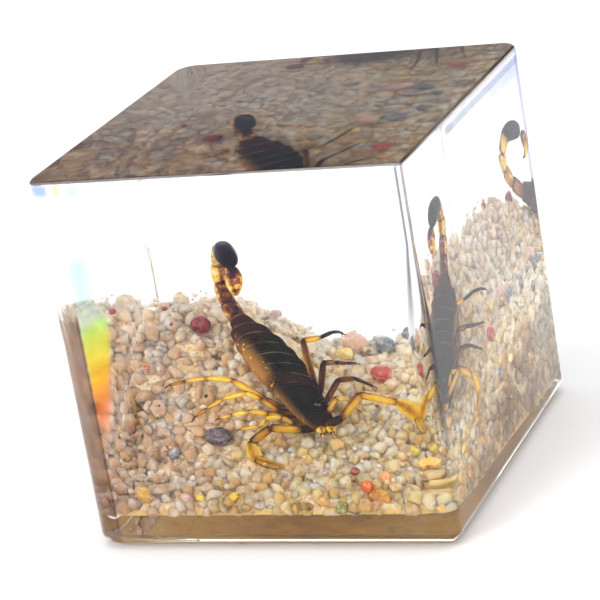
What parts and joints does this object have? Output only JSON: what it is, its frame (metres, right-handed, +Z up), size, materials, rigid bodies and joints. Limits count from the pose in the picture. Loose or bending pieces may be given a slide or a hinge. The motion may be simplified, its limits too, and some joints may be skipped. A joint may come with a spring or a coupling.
{
  "type": "scorpion in resin block",
  "caption": "Clear cast resin block that holds a whole scorpion with its tail raised over a bank of pale gravel with coloured stones.",
  "frame": {"origin": "middle of the base, on the surface that the block stands on", "axes": "+Z up, -Y towards the face that the scorpion's head points at, +X to that viewer's right"},
  "size_m": [0.045, 0.048, 0.045],
  "materials": {
    "clear_resin": "clear cast resin with a polished surface",
    "gravel": "milky crushed quartz, wetted by the resin",
    "scorpion_shell": "dark brown shell with amber limbs, glossy",
    "dark_red_stone": "smooth dark red stone",
    "grey_pebble": "smooth dark grey pebble",
    "ochre_pebble": "smooth ochre pebble",
    "orange_chip": "orange stone chip",
    "salmon_stone": "salmon red stone",
    "blue_grey_stone": "blue grey stone"
  },
  "bodies": {
    "root": {"resin_base": "clear_resin", "resin_cover": "clear_resin", "gravel_bed": "gravel", "scorpion": "scorpion_shell", "dark_red_stone": "dark_red_stone", "grey_pebble": "grey_pebble", "ochre_pebble": "ochre_pebble", "orange_chip": "orange_chip", "salmon_stone": "salmon_stone", "blue_grey_stone": "blue_grey_stone"}
  },
  "joints": []
}
